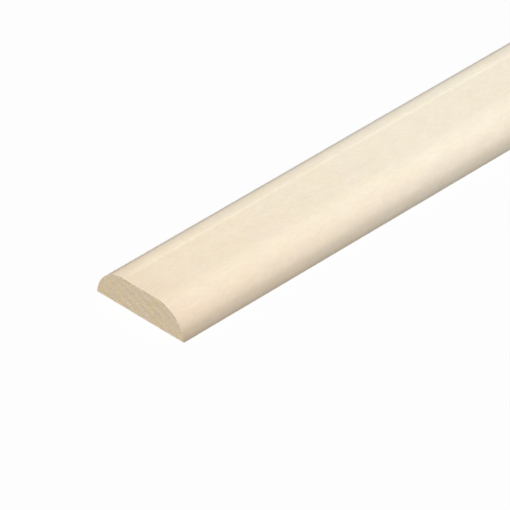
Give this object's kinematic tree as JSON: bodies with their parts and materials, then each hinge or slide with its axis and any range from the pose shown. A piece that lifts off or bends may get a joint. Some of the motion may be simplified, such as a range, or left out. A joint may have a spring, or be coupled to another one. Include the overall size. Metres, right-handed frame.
{
  "type": "d-shaped moulding",
  "caption": "Straight length of pale timber moulding with a D section: flat back, flat crown and a quarter round along each side, for trimming edges and covering joints.",
  "frame": {"origin": "middle of the flat back, halfway along the length", "axes": "+X along the length, +Y across the width, +Z out of the back towards the crown"},
  "size_m": [2.4, 0.021, 0.006],
  "materials": {
    "pale_wood": "planed smooth and bare, sawn across at the ends"
  },
  "bodies": {
    "root": {"d_moulding": "pale_wood"}
  },
  "joints": []
}
